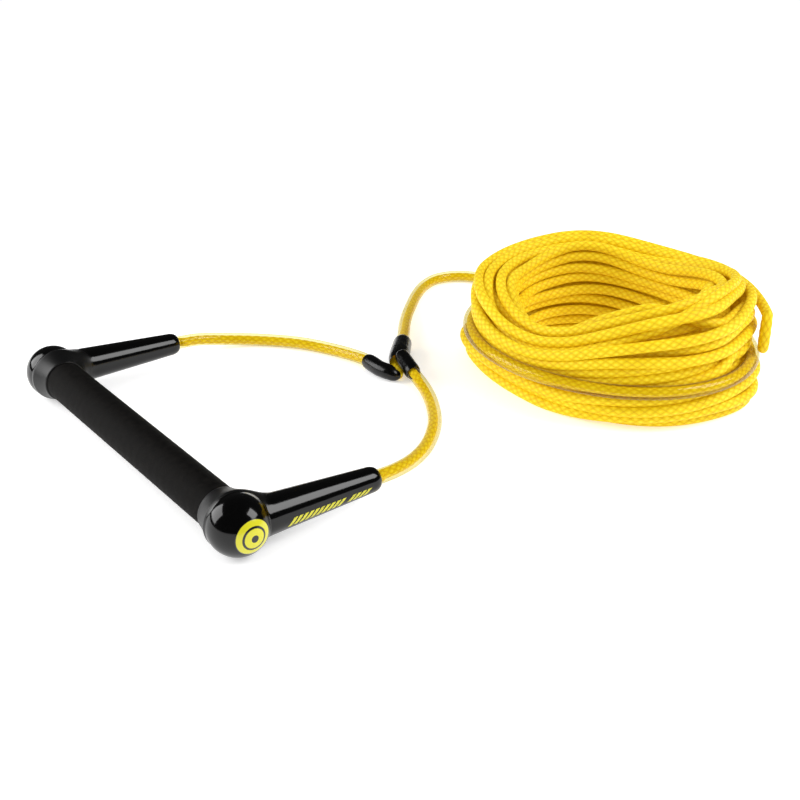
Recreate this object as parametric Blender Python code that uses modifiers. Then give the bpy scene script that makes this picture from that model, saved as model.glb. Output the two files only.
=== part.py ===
"""Water-ski tow rope handle with its tubed bridle and its coiled tow line.

The handle's bar lies along X. The rope leaves the arms towards +Y. Z is up, and the floor is Z = 0.
The origin is under the middle of the rigid handle. Everything is in metres.
"""

import math

import bmesh
import bpy
from mathutils import Matrix, Vector

# Clearance that faces which touch on the real object keep here.
GAP = 0.0003

# The bar: an aluminium tube in a rubber grip, between two moulded end caps.
HALF_SPAN = 0.133  # from the middle of the bar to the centre of an end ball
GRIP_R = 0.0145
CORE_R = 0.011
CORE_WALL = 0.0015
CORE_END_INSET = 0.010  # the core tube stops this far short of the ball's centre

# The end cap: ball, flared collar towards the grip, and the arm towards the rope.
BALL_R = 0.0197
COLLAR_R = 0.0192
COLLAR_CREST = 0.0075  # distance of the collar's widest ring from the ball's centre
MOUTH_R = 0.0154
MOUTH_REACH = 0.0215  # distance of the collar's mouth from the ball's centre
MOUTH_RECESS = 0.0025  # the grip's end sits this deep in the mouth
COLLAR_FLARE = 1.4
DOME_END = 0.005  # the dome meets the collar this far inside the ball's centre
BADGE_R = 0.0118
BADGE_DEPTH = 0.0009
ARM_REACH = 0.1025  # from the ball's centre to the arm's tip
ARM_ROOT_R = 0.0131
ARM_ROOT_START = 0.0165
ARM_FOOT = 0.004  # inside the ball
ARM_TIP_R = 0.00875
ARM_TIP_ROUNDING = 0.0070
FOOT_R = 0.0124
ARM_DROOP = math.radians(2.8)  # the arms lean down to the floor

# The rope, the clear tubing and the shrink sleeves.
ROPE_R = 0.0040  # slack, in the coil
DRAWN_ROPE_R = 0.0033  # drawn tight, in the tubing
TUBE_R = 0.0051
TUBE_WALL = 0.0010
SLEEVE_WALL = 0.0009
SLEEVE_GAP = 0.0005  # between a sleeve and the tubing in it
SLEEVE_LENGTH = 0.027
TUBE_IN_SLEEVE = 0.016  # the bridle's tubing ends this far inside its sleeve
MAIN_SLEEVE_WIDE_R = 0.0074  # where two ropes enter
EXIT_GAP = 0.0014  # between the arm's tip and the bridle's tubing, which bends there
TUBE_SOCKET_DEPTH = 0.040  # the tubing runs this far into the arm
CHANNEL_R = 0.0042  # the rope's way through the cap
CHANNEL_BEND = 0.012

# Smoothness of the round stretches, and the distance between their points.
ROPE_SIDES = 8
TUBE_SIDES = 12
BORE_SIDES = 18
POINT_SPACING = 0.0165
SHORT_SPACING = 0.009  # in the sleeves
BARE_ROPE_SPACING = 0.0035

# The heights of the bar and the floor lines.
BAR_Z = BALL_R
ARM_RUN = ARM_REACH * math.cos(ARM_DROOP)
BAR_Y = (BALL_R - ARM_RUN) / 2  # centres the rigid handle on the origin
TIP_Y = BAR_Y + ARM_RUN
TIP_Z = BAR_Z - ARM_REACH * math.sin(ARM_DROOP)
TUBE_Z = TUBE_R + GAP  # axis height of tubing that lies on the floor
SLEEVE_R = TUBE_R + SLEEVE_GAP + SLEEVE_WALL

# The bridle's two legs, from the arm's mouth to their sleeve, as chosen points of a smooth curve.
LEFT_LEG = [
    (-HALF_SPAN, TIP_Y, TIP_Z),
    (-0.1345, 0.0810, 0.0118),
    (-0.1300, 0.1040, 0.0075),
    (-0.1175, 0.1260, TUBE_Z),
    (-0.0910, 0.1495, TUBE_Z),
    (-0.0620, 0.1645, TUBE_Z),
    (-0.0310, 0.1718, 0.0066),
    (-0.0090, 0.1712, 0.0066),
    (0.0000, 0.1730, 0.0064),
]
RIGHT_LEG = [
    (HALF_SPAN, TIP_Y, TIP_Z),
    (0.1292, 0.0800, 0.0118),
    (0.1195, 0.1030, 0.0075),
    (0.1065, 0.1250, TUBE_Z),
    (0.0870, 0.1475, TUBE_Z),
    (0.0635, 0.1650, TUBE_Z),
    (0.0400, 0.1770, 0.0062),
    (0.0165, 0.1840, 0.0090),
    (-0.0080, 0.1913, 0.0131),
]
MAIN_SLEEVE = [(-0.0142, 0.1942, 0.0084), (-0.0380, 0.2165, 0.0070)]
BARE_ROPE = [
    (0.0008, 0.1732, 0.0062),
    (0.0042, 0.1750, 0.0050),
    (0.0043, 0.1796, 0.0040),
    (-0.0020, 0.1826, 0.0038),
    (-0.0105, 0.1864, 0.0040),
    (-0.0155, 0.1904, 0.0055),
]
SPLICE_LENGTH = 0.0125  # the two ropes run together this far into the main sleeve
SPLICE_R = 0.0052

# The coil: an oval ring of rope with a waist, where a turn of the tubing holds it together.
COIL_CENTRE = Vector((0.0915, 0.3165, 0.0))
COIL_TURN = math.radians(12)  # from +X to the oval's long axis
COIL_LONG_R = 0.113
COIL_SHORT_R = 0.0965
COIL_WALL = 0.030
COIL_HEIGHT = 0.084
COIL_ROUNDING = 0.010
WAIST_Z = 0.032
WAIST_DEPTH = 0.007
WAIST_HALF_HEIGHT = 0.0085
WAIST_HALF_FLOOR = 0.0045

# The tow line's tubing lies on the floor, rises behind the coil and goes once round its waist.
LINE_ON_FLOOR = [
    MAIN_SLEEVE[1],
    (-0.0530, 0.2291, 0.0060),
    (-0.0690, 0.2428, TUBE_Z),
    (-0.0835, 0.2570, TUBE_Z),
    (-0.0990, 0.2740, TUBE_Z),
    (-0.1140, 0.2915, TUBE_Z),
    (-0.1265, 0.3105, TUBE_Z),
    (-0.1325, 0.3300, TUBE_Z),
    (-0.1265, 0.3495, TUBE_Z),
    (-0.1110, 0.3625, TUBE_Z),
    (-0.0850, 0.3700, TUBE_Z),
    (-0.0500, 0.3765, 0.0075),
    (-0.0150, 0.3830, 0.0170),
    (0.0100, 0.3895, 0.0290),
]
TURN_GAP = 0.0010  # between the tubing and the waist
TURN_START = math.radians(110)  # angles from the oval's long axis
TURN_END = math.radians(-215)
TURN_POINTS = 26

# The eye at the boat end of the rope stands against the coil's right-hand end.
EYE_ANGLE = math.radians(22)
EYE_OFFSET = ROPE_R + 0.0016
EYE_Z = 0.0520
EYE_HALF_WIDTH = 0.0085
EYE_HALF_HEIGHT = 0.0130
EYE_POINTS = 20

COLOURS = {
    "rubber": ((0.012, 0.011, 0.010), 0.85, 0.0),
    "aluminium": ((0.75, 0.76, 0.78), 0.35, 1.0),
    "cap_plastic": ((0.004, 0.004, 0.004), 0.12, 0.0),
    "badge_print": ((0.80, 0.72, 0.02), 0.25, 0.0),
    "clear_tubing": ((0.82, 0.80, 0.72), 0.10, 0.0),
    "rope": ((0.90, 0.68, 0.02), 0.55, 0.0),
    "sleeve_film": ((0.006, 0.006, 0.006), 0.30, 0.0),
}


def clear_scene():
    for item in list(bpy.data.objects):
        bpy.data.objects.remove(item, do_unlink=True)


def new_collection(name):
    collection = bpy.data.collections.new(name)
    bpy.context.scene.collection.children.link(collection)
    return collection


def material(name):
    """A Principled material, made once and shared after that."""
    if name in bpy.data.materials:
        return bpy.data.materials[name]
    colour, roughness, metallic = COLOURS[name]
    made = bpy.data.materials.new(name)
    made.use_nodes = True
    shader = made.node_tree.nodes["Principled BSDF"]
    shader.inputs["Base Color"].default_value = (*colour, 1.0)
    shader.inputs["Roughness"].default_value = roughness
    shader.inputs["Metallic"].default_value = metallic
    return made


def add_object(name, data, collection, material_name=None):
    made = bpy.data.objects.new(name, data)
    collection.objects.link(made)
    if material_name:
        data.materials.append(material(material_name))
    return made


def turned(name, profile, steps, collection, material_name=None, closed=False):
    """A profile of (radius, height) points turned about Z. It runs down the shape's outer side."""
    mesh = bpy.data.meshes.new(name)
    points = [(radius, 0.0, height) for radius, height in profile]
    edges = [(i, i + 1) for i in range(len(points) - 1)]
    if closed:
        edges.append((len(points) - 1, 0))
    mesh.from_pydata(points, edges, [])
    made = add_object(name, mesh, collection, material_name)
    screw = made.modifiers.new("turn", "SCREW")
    screw.axis = "Z"
    screw.steps = steps
    screw.render_steps = steps
    screw.use_merge_vertices = True
    screw.merge_threshold = 0.00001
    screw.use_smooth_shade = True
    return made


def smooth_line(points):
    """A centripetal Catmull-Rom curve through the given points, as points about 1 mm apart."""
    route = [Vector(p) for p in points]
    route.insert(0, 2 * route[0] - route[1])
    route.append(2 * route[-1] - route[-2])
    dense = []
    for p0, p1, p2, p3 in zip(route, route[1:], route[2:], route[3:]):
        t1 = math.sqrt((p1 - p0).length)
        t2 = t1 + math.sqrt((p2 - p1).length)
        t3 = t2 + math.sqrt((p3 - p2).length)
        pieces = max(2, round((p2 - p1).length / 0.001))
        for i in range(pieces):
            t = t1 + (t2 - t1) * i / pieces
            a1 = p0.lerp(p1, t / t1)
            a2 = p1.lerp(p2, (t - t1) / (t2 - t1))
            a3 = p2.lerp(p3, (t - t2) / (t3 - t2))
            b1 = a1.lerp(a2, t / t2)
            b2 = a2.lerp(a3, (t - t1) / (t3 - t1))
            dense.append(b1.lerp(b2, (t - t1) / (t2 - t1)))
    dense.append(route[-2].copy())
    return dense


def distances(line):
    """How far along a line each of its points is."""
    reach = [0.0]
    for here, there in zip(line, line[1:]):
        reach.append(reach[-1] + (there - here).length)
    return reach


def stretch(line, start, end, spacing):
    """Evenly spaced points on a line, from one distance along it to another."""
    reach = distances(line)
    count = max(1, round((end - start) / spacing))
    even = []
    step = 0
    for i in range(count + 1):
        target = start + (end - start) * i / count
        while step < len(reach) - 2 and reach[step + 1] < target:
            step += 1
        share = (target - reach[step]) / (reach[step + 1] - reach[step])
        even.append(line[step].lerp(line[step + 1], share))
    return even


def round_curve(name, route, radius, sides, collection, material_name, capped, cyclic=False):
    curve = bpy.data.curves.new(name, "CURVE")
    curve.dimensions = "3D"
    curve.bevel_depth = radius
    curve.bevel_resolution = sides // 2 - 2
    curve.use_fill_caps = capped
    spline = curve.splines.new("POLY")
    spline.points.add(len(route) - 1)
    for point, place in zip(spline.points, route):
        point.co = (*place, 1.0)
    spline.use_cyclic_u = cyclic
    spline.use_smooth = True
    return add_object(name, curve, collection, material_name)


def rod(name, route, radius, collection, material_name=None, cyclic=False, sides=ROPE_SIDES):
    """A solid round rod along a route: a stretch of rope."""
    return round_curve(name, route, radius, sides, collection, material_name, not cyclic, cyclic)


def pipe(name, route, radius, wall, collection, material_name):
    """A hollow round tube along a route, open at both ends."""
    made = round_curve(name, route, radius, TUBE_SIDES, collection, material_name, False)
    shell = made.modifiers.new("wall", "SOLIDIFY")
    shell.thickness = wall
    shell.offset = -1.0
    return made


def as_mesh(made):
    """Swaps a curve or a modified mesh for the plain mesh that it evaluates to."""
    bpy.context.view_layer.update()
    evaluated = made.evaluated_get(bpy.context.evaluated_depsgraph_get())
    mesh = bpy.data.meshes.new_from_object(evaluated)
    plain = bpy.data.objects.new(made.name + "_mesh", mesh)
    plain.matrix_world = made.matrix_world.copy()
    made.users_collection[0].objects.link(plain)
    name = made.name
    bpy.data.objects.remove(made, do_unlink=True)
    plain.name = name
    weld(mesh)
    return plain


def weld(mesh):
    cage = bmesh.new()
    cage.from_mesh(mesh)
    bmesh.ops.remove_doubles(cage, verts=cage.verts, dist=0.00001)
    bmesh.ops.recalc_face_normals(cage, faces=cage.faces)
    cage.to_mesh(mesh)
    cage.free()


def combine(target, tool, operation):
    boolean = target.modifiers.new(operation.lower() + "_" + tool.name, "BOOLEAN")
    boolean.operation = operation
    boolean.solver = "EXACT"
    boolean.object = tool
    tool.hide_render = True
    tool.display_type = "WIRE"


def arc(radius, start, end, pieces):
    """Points (across, along) on an arc about the origin, from one angle to the other, in degrees."""
    for i in range(pieces + 1):
        angle = math.radians(start + (end - start) * i / pieces)
        yield radius * math.cos(angle), radius * math.sin(angle)


def collar_radius(reach):
    """The flared collar's radius at a distance from the ball's centre."""
    share = (MOUTH_REACH - reach) / (MOUTH_REACH - COLLAR_CREST)
    return MOUTH_R + (COLLAR_R - MOUTH_R) * share**COLLAR_FLARE


def cap_body_profile():
    """Ball and collar about the bar's axis, with the ball's pole on top and the mouth below."""
    seat_height = math.sqrt(BALL_R**2 - BADGE_R**2)
    seat_angle = math.degrees(math.asin(seat_height / BALL_R))
    dome_end_angle = -math.degrees(math.asin(DOME_END / BALL_R))
    profile = [(0.0, seat_height - BADGE_DEPTH), (BADGE_R, seat_height - BADGE_DEPTH)]
    profile += list(arc(BALL_R, seat_angle, dome_end_angle, 7))
    profile.append((COLLAR_R - 0.0005, -COLLAR_CREST + 0.0022))
    flare_points = 6
    for i in range(flare_points + 1):
        reach = COLLAR_CREST + (MOUTH_REACH - 0.0008 - COLLAR_CREST) * i / flare_points
        profile.append((collar_radius(reach), -reach))
    recess_r = GRIP_R + GAP
    profile += [
        (recess_r + 0.0002, -MOUTH_REACH),
        (recess_r, -MOUTH_REACH + 0.0004),
        (recess_r, -MOUTH_REACH + MOUTH_RECESS),
        (0.0, -MOUTH_REACH + MOUTH_RECESS),
    ]
    return profile


def arm_profile():
    """The arm about its own axis, tip on top. Its foot is inside the ball."""
    profile = [(0.0, ARM_REACH), (ARM_TIP_R - 0.0026, ARM_REACH)]
    rounding_top = ARM_REACH - ARM_TIP_ROUNDING
    for across, along in arc(1.0, 75, 0, 4):
        radius = ARM_TIP_R - 0.0026 * (1 - across)
        profile.append((radius, rounding_top + ARM_TIP_ROUNDING * along))
    profile += [(ARM_ROOT_R, ARM_ROOT_START), (FOOT_R, ARM_FOOT), (0.0, ARM_FOOT)]
    return profile


def rope_way():
    """The rope's way through a cap: from the arm's tip, round the bend in the ball, into the bar."""
    corner = [
        Vector((-CHANNEL_BEND + across, CHANNEL_BEND + along, 0.0))
        for across, along in arc(CHANNEL_BEND, 0, -90, 6)
    ]
    return [Vector((0.0, ARM_REACH, 0.0)), *corner, Vector((-MOUTH_REACH, 0.0, 0.0))]


def cap_shape(cutters):
    """The right-hand cap about its ball's centre: bar towards -X, arm towards +Y."""
    body = turned("cap_body", cap_body_profile(), 32, cutters)
    body.rotation_euler = (0.0, math.radians(90), 0.0)
    arm = turned("cap_arm", arm_profile(), 28, cutters)
    arm.rotation_euler = (math.radians(-90), 0.0, 0.0)
    way = rope_way()
    channel_route = [Vector((0.0, ARM_REACH - TUBE_SOCKET_DEPTH + 0.004, 0.0)), *way[1:]]
    channel = as_mesh(rod("rope_channel", channel_route, CHANNEL_R, cutters, sides=BORE_SIDES))
    socket_end = Vector((0.0, ARM_REACH - TUBE_SOCKET_DEPTH, 0.0))
    socket_route = [way[0] + Vector((0.0, 0.004, 0.0)), socket_end]
    socket_r = TUBE_R + GAP + 0.0001
    socket = as_mesh(rod("tube_socket", socket_route, socket_r, cutters, sides=BORE_SIDES))
    seat_r = CORE_R + GAP
    seat_profile = [(0.0, -CORE_END_INSET + GAP), (seat_r, -CORE_END_INSET + GAP)]
    seat_profile += [(seat_r, -MOUTH_REACH), (0.0, -MOUTH_REACH)]
    core_seat = turned("core_seat", seat_profile, 32, cutters)
    core_seat.rotation_euler = body.rotation_euler
    combine(body, arm, "UNION")
    for tool in (core_seat, channel, socket):
        combine(body, tool, "DIFFERENCE")
    shape = as_mesh(body)
    shape.data.transform(shape.matrix_world)
    shape.matrix_world = Matrix.Identity(4)
    for tool in (arm, core_seat, channel, socket):
        bpy.data.objects.remove(tool, do_unlink=True)
    return shape


def cap_placement(side):
    """Puts a right-hand cap piece in place, or turns it over its arm for the left side."""
    place = Matrix.Translation((side * HALF_SPAN, BAR_Y, BAR_Z)) @ Matrix.Rotation(-ARM_DROOP, 4, "X")
    if side < 0:
        place = place @ Matrix.Rotation(math.pi, 4, "Y")
    return place


def make_bar(parts):
    along_x = Matrix.Translation((0.0, BAR_Y, BAR_Z)) @ Matrix.Rotation(math.radians(90), 4, "Y")
    core_half = HALF_SPAN - CORE_END_INSET
    grip_half = HALF_SPAN - MOUTH_REACH + MOUTH_RECESS - GAP
    hollow_cylinders = (
        ("core_tube", CORE_R, CORE_R - CORE_WALL, core_half, 28, "aluminium"),
        ("grip_sleeve", GRIP_R, CORE_R + GAP, grip_half, 36, "rubber"),
    )
    for name, outer, inner, half, steps, finish in hollow_cylinders:
        profile = [(outer, half), (outer, -half), (inner, -half), (inner, half)]
        piece = turned(name, profile, steps, parts, finish, closed=True)
        piece.matrix_world = along_x


def make_caps(parts, cutters):
    shape = cap_shape(cutters)
    shape.data.materials.clear()
    shape.data.materials.append(material("cap_plastic"))
    shape.data.set_sharp_from_angle(angle=math.radians(35))
    for side, word in ((-1, "left"), (1, "right")):
        cap = bpy.data.objects.new("end_cap_" + word, shape.data)
        parts.objects.link(cap)
        cap.matrix_world = cap_placement(side)
        make_badge(word, side, parts)
    bpy.data.objects.remove(shape, do_unlink=True)


def make_badge(word, side, parts):
    """The round inlay in the ball's outer pole, flush with the ball."""
    radius = BADGE_R - GAP
    seat_height = math.sqrt(BALL_R**2 - BADGE_R**2) - BADGE_DEPTH + GAP
    rim_angle = math.degrees(math.acos(radius / BALL_R))
    profile = [*arc(BALL_R, 90, rim_angle, 4), (radius, seat_height), (0.0, seat_height)]
    profile[0] = (0.0, BALL_R)
    badge = turned("end_badge_" + word, profile, 28, parts, "badge_print")
    badge.matrix_world = cap_placement(side) @ Matrix.Rotation(math.radians(90), 4, "Y")


def make_inner_rope(parts):
    """The bridle rope's middle, from one arm's mouth through the bar to the other."""
    half = [cap_placement(1) @ p for p in rope_way()[:-1]]
    half[-1] = Vector((half[-1].x - 0.002, BAR_Y, BAR_Z))
    other = [Vector((-p.x, p.y, p.z)) for p in reversed(half)]
    middle = [Vector((x, BAR_Y, BAR_Z)) for x in (0.06, 0.0, -0.06)]
    line = [*half, *middle, *other]
    line[0] += (line[1] - line[0]).normalized() * GAP
    line[-1] += (line[-2] - line[-1]).normalized() * GAP
    rod("bar_rope", line, DRAWN_ROPE_R, parts, "rope")


def make_tube_ends(parts):
    """The ends of the bridle tubing inside the arms."""
    for side, word in ((-1, "left"), (1, "right")):
        place = cap_placement(side)
        outer_end = place @ Vector((0.0, ARM_REACH - GAP, 0.0))
        inner_end = place @ Vector((0.0, ARM_REACH - TUBE_SOCKET_DEPTH + GAP, 0.0))
        middle = (outer_end + inner_end) / 2
        pipe("tube_end_" + word, [outer_end, middle, inner_end], TUBE_R, TUBE_WALL, parts, "clear_tubing")


def make_leg(word, points, parts):
    """One leg of the bridle: tubing, the rope in it, and the shrink sleeve over the tubing's end."""
    line = smooth_line(points)
    length = distances(line)[-1]
    sleeve_start = length - SLEEVE_LENGTH
    tube = stretch(line, EXIT_GAP, sleeve_start + TUBE_IN_SLEEVE, POINT_SPACING)
    rope = stretch(line, EXIT_GAP, length - GAP, POINT_SPACING)
    sleeve = stretch(line, sleeve_start, length, SHORT_SPACING)
    pipe("bridle_tube_" + word, tube, TUBE_R, TUBE_WALL, parts, "clear_tubing")
    rod("bridle_rope_" + word, rope, DRAWN_ROPE_R, parts, "rope")
    pipe("sleeve_" + word, sleeve, SLEEVE_R, SLEEVE_WALL, parts, "sleeve_film")


def make_junction(parts):
    """The bare rope's return, the splice and the main sleeve over it."""
    bare = smooth_line(BARE_ROPE)
    bare_route = stretch(bare, GAP, distances(bare)[-1], BARE_ROPE_SPACING)
    rod("bare_rope", bare_route, DRAWN_ROPE_R, parts, "rope")
    start = Vector(MAIN_SLEEVE[0])
    end = Vector(MAIN_SLEEVE[1])
    length = (end - start).length
    along = (end - start).normalized()
    narrow = SLEEVE_R
    wide = MAIN_SLEEVE_WIDE_R
    profile = [
        (narrow, length),
        (narrow + 0.0004, length * 0.55),
        (wide, length * 0.25),
        (wide, 0.0),
        (wide - SLEEVE_WALL, 0.0),
        (wide - SLEEVE_WALL, length * 0.25),
        (narrow - SLEEVE_WALL + 0.0004, length * 0.55),
        (narrow - SLEEVE_WALL, length),
    ]
    sleeve = turned("sleeve_main", profile, 20, parts, "sleeve_film", closed=True)
    sleeve.matrix_world = Matrix.Translation(start) @ along.to_track_quat("Z", "Y").to_matrix().to_4x4()
    splice = [start + along * reach for reach in (0.0015, 0.007, SPLICE_LENGTH)]
    rod("splice_core", splice, SPLICE_R, parts, "rope")
    inner = [start + along * reach for reach in (SPLICE_LENGTH + GAP, 0.020, length - GAP)]
    pipe("line_tube_end", inner, TUBE_R, TUBE_WALL, parts, "clear_tubing")
    rod("line_rope_end", inner, DRAWN_ROPE_R, parts, "rope")


def coil_point(long_reach, short_reach, height):
    """A point given along the coil's long axis, its short axis and its height."""
    turn = Matrix.Rotation(COIL_TURN, 3, "Z")
    return COIL_CENTRE + turn @ Vector((long_reach, short_reach, height))


def make_line(parts):
    """The tow line's tubing and the rope in it, along the floor and once round the coil."""
    waist_long = COIL_LONG_R - WAIST_DEPTH
    waist_short = waist_long * COIL_SHORT_R / COIL_LONG_R
    clearance = TUBE_R + TURN_GAP
    turn = []
    for i in range(TURN_POINTS + 1):
        angle = TURN_START + (TURN_END - TURN_START) * i / TURN_POINTS
        long_reach = (waist_long + clearance) * math.cos(angle)
        short_reach = (waist_short + clearance) * math.sin(angle)
        turn.append(coil_point(long_reach, short_reach, WAIST_Z))
    line = smooth_line([*LINE_ON_FLOOR, *turn])
    route = stretch(line, GAP, distances(line)[-1], POINT_SPACING)
    pipe("line_tube", route, TUBE_R, TUBE_WALL, parts, "clear_tubing")
    rod("line_rope", route, DRAWN_ROPE_R, parts, "rope")


def make_coil(parts):
    """The coil's outer shape: a rounded ring, oval from above, flat underneath."""
    outer = COIL_LONG_R
    inner = COIL_LONG_R - COIL_WALL
    waist = [
        (outer, WAIST_Z + WAIST_HALF_HEIGHT),
        (outer - WAIST_DEPTH, WAIST_Z + WAIST_HALF_FLOOR),
        (outer - WAIST_DEPTH, WAIST_Z - WAIST_HALF_FLOOR),
        (outer, WAIST_Z - WAIST_HALF_HEIGHT),
    ]
    corners = (
        (outer - COIL_ROUNDING, COIL_HEIGHT - COIL_ROUNDING, 90, waist),
        (outer - COIL_ROUNDING, COIL_ROUNDING, 0, ()),
        (inner + COIL_ROUNDING, COIL_ROUNDING, -90, ()),
        (inner + COIL_ROUNDING, COIL_HEIGHT - COIL_ROUNDING, -180, ()),
    )
    profile = []
    for across, height, start, after in corners:
        profile += [(across + u, height + v) for u, v in arc(COIL_ROUNDING, start, start - 90, 3)]
        profile += after
    ring = turned("rope_coil", profile, 48, parts, "rope", closed=True)
    ring.location = COIL_CENTRE
    ring.rotation_euler = (0.0, 0.0, COIL_TURN)
    ring.scale = (1.0, COIL_SHORT_R / COIL_LONG_R, 1.0)


def make_eye(parts):
    """The eye at the boat end of the line, standing against the coil."""
    across = (COIL_LONG_R + EYE_OFFSET) * math.cos(EYE_ANGLE)
    aside = (COIL_SHORT_R + EYE_OFFSET) * math.sin(EYE_ANGLE)
    flank = Vector((-COIL_LONG_R * math.sin(EYE_ANGLE), COIL_SHORT_R * math.cos(EYE_ANGLE)))
    flank.normalize()
    route = []
    for i in range(EYE_POINTS):
        angle = 2 * math.pi * i / EYE_POINTS
        shift = flank * EYE_HALF_WIDTH * math.cos(angle)
        height = EYE_Z + EYE_HALF_HEIGHT * math.sin(angle)
        route.append(coil_point(across + shift.x, aside + shift.y, height))
    rod("boat_end_eye", route, ROPE_R, parts, "rope", cyclic=True)


def main():
    clear_scene()
    parts = new_collection("tow_rope_handle")
    cutters = new_collection("cutters")
    make_bar(parts)
    make_caps(parts, cutters)
    make_inner_rope(parts)
    make_tube_ends(parts)
    make_leg("left", LEFT_LEG, parts)
    make_leg("right", RIGHT_LEG, parts)
    make_junction(parts)
    make_line(parts)
    make_coil(parts)
    make_eye(parts)


main()
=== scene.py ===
"""The looks of the tow rope handle: smooth caps, braided rope, clear tubing and the coil of loose rope.

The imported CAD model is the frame. Everything is in metres: X along the bar, +Y towards the rope, Z up.
"""

import math

import bpy
import numpy as np
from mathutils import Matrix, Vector


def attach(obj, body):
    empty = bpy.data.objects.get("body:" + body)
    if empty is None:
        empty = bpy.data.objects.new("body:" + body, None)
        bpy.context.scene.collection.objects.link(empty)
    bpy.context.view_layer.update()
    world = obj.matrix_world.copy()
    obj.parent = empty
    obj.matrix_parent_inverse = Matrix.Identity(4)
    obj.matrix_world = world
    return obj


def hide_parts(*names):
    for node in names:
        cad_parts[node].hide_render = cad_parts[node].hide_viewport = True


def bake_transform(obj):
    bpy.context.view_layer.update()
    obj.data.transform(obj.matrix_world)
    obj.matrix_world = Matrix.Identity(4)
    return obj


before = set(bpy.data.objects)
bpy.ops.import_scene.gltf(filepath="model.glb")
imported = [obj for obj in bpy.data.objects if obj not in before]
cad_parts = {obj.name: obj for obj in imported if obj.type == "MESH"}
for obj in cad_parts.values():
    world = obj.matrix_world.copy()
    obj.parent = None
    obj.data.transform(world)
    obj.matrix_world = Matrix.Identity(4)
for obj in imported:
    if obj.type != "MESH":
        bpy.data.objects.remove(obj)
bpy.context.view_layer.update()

MM = 0.001

# The rigid handle, as in the CAD model.
BALL_R = 19.7 * MM
COLLAR_R = 19.2 * MM
COLLAR_CREST = 7.5 * MM
COLLAR_FLARE = 1.4
MOUTH_R = 15.4 * MM
MOUTH_REACH = 21.5 * MM
MOUTH_RECESS = 2.5 * MM
GRIP_R = 14.5 * MM
BADGE_R = 11.6 * MM
ARM_REACH = 102.5 * MM
ARM_ROOT_R = 13.1 * MM
ARM_ROOT_START = 16.5 * MM
ARM_TIP_R = 8.75 * MM
ARM_DROOP = math.radians(2.8)
HALF_SPAN = 133.0 * MM
BAR_Z = BALL_R
BAR_Y = (BALL_R - ARM_REACH * math.cos(ARM_DROOP)) / 2
TIP_Y = BAR_Y + ARM_REACH * math.cos(ARM_DROOP)
TIP_Z = BAR_Z - ARM_REACH * math.sin(ARM_DROOP)

# Rope, tubing and sleeves.
ROPE_R = 4.0 * MM
DRAWN_ROPE_R = 3.4 * MM
ROPE_OFFSET = 1.2 * MM  # the rope lies against the inner side of the tubing's bends
TUBE_R = 5.1 * MM
TUBE_Z = 5.4 * MM
SLEEVE_R = 6.5 * MM
SLEEVE_LENGTH = 27.0 * MM
PICK = 7.0 * MM  # length of one diamond of the braid
PICKS_ROUND = 5
BRAID_RELIEF = 0.35 * MM
TUBE_IN_SLEEVE = 16 * MM  # the bridle's tubing ends this far inside its sleeve
FILM_GAP = 0.25 * MM  # between the tubing and the thin ends of the film over it

LEFT_LEG = [
    (-HALF_SPAN, TIP_Y, TIP_Z),
    (-0.1345, 0.0810, 0.0118),
    (-0.1300, 0.1040, 0.0075),
    (-0.1175, 0.1260, TUBE_Z),
    (-0.0910, 0.1495, TUBE_Z),
    (-0.0620, 0.1645, TUBE_Z),
    (-0.0310, 0.1718, 0.0066),
    (-0.0090, 0.1712, 0.0066),
    (0.0000, 0.1730, 0.0064),
]
RIGHT_LEG = [
    (HALF_SPAN, TIP_Y, TIP_Z),
    (0.1292, 0.0800, 0.0118),
    (0.1195, 0.1030, 0.0075),
    (0.1065, 0.1250, TUBE_Z),
    (0.0870, 0.1475, TUBE_Z),
    (0.0635, 0.1650, TUBE_Z),
    (0.0400, 0.1770, 0.0062),
    (0.0165, 0.1840, 0.0090),
    (-0.0080, 0.1913, 0.0131),
]
BARE_ROPE = [
    (0.0042, 0.1750, 0.0050),
    (0.0043, 0.1796, 0.0040),
    (-0.0020, 0.1826, 0.0038),
    (-0.0105, 0.1864, 0.0040),
    (-0.0155, 0.1904, 0.0055),
]
MAIN_SLEEVE = [(-0.0142, 0.1942, 0.0084), (-0.0380, 0.2165, 0.0070)]
LINE_ON_FLOOR = [
    MAIN_SLEEVE[1],
    (-0.0530, 0.2291, 0.0060),
    (-0.0690, 0.2428, TUBE_Z),
    (-0.0835, 0.2570, TUBE_Z),
    (-0.0990, 0.2740, TUBE_Z),
    (-0.1140, 0.2915, TUBE_Z),
    (-0.1265, 0.3105, TUBE_Z),
    (-0.1325, 0.3300, TUBE_Z),
    (-0.1265, 0.3495, TUBE_Z),
    (-0.1110, 0.3625, TUBE_Z),
    (-0.0850, 0.3700, TUBE_Z),
    (-0.0500, 0.3765, 0.0075),
    (-0.0150, 0.3830, 0.0170),
    (0.0100, 0.3895, 0.0290),
]

# The coil: the CAD model's oval, and how the loose turns fill it.
COIL_CENTRE = np.array([0.0915, 0.3165, 0.0])
COIL_TURN = math.radians(12)
COIL_LONG_R = 113.0 * MM
COIL_SHORT_R = 96.5 * MM
WAIST_Z = 32.0 * MM
WAIST_DEPTH = 7.0 * MM
TURN_GAP = 1.0 * MM
TURN_START = math.radians(110)
TURN_END = math.radians(-215)
TURN_POINTS = 26
EYE_ANGLE = math.radians(22)
EYE_OFFSET = ROPE_R + 1.6 * MM
EYE_Z = 52.0 * MM
EYE_HALF_WIDTH = 8.5 * MM
EYE_HALF_HEIGHT = 13.0 * MM
COIL_LAYERS = 9
COIL_COLUMNS = 4
COIL_TURNS = 34
MEAN_TURN = 0.58  # metres of rope in one turn
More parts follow.
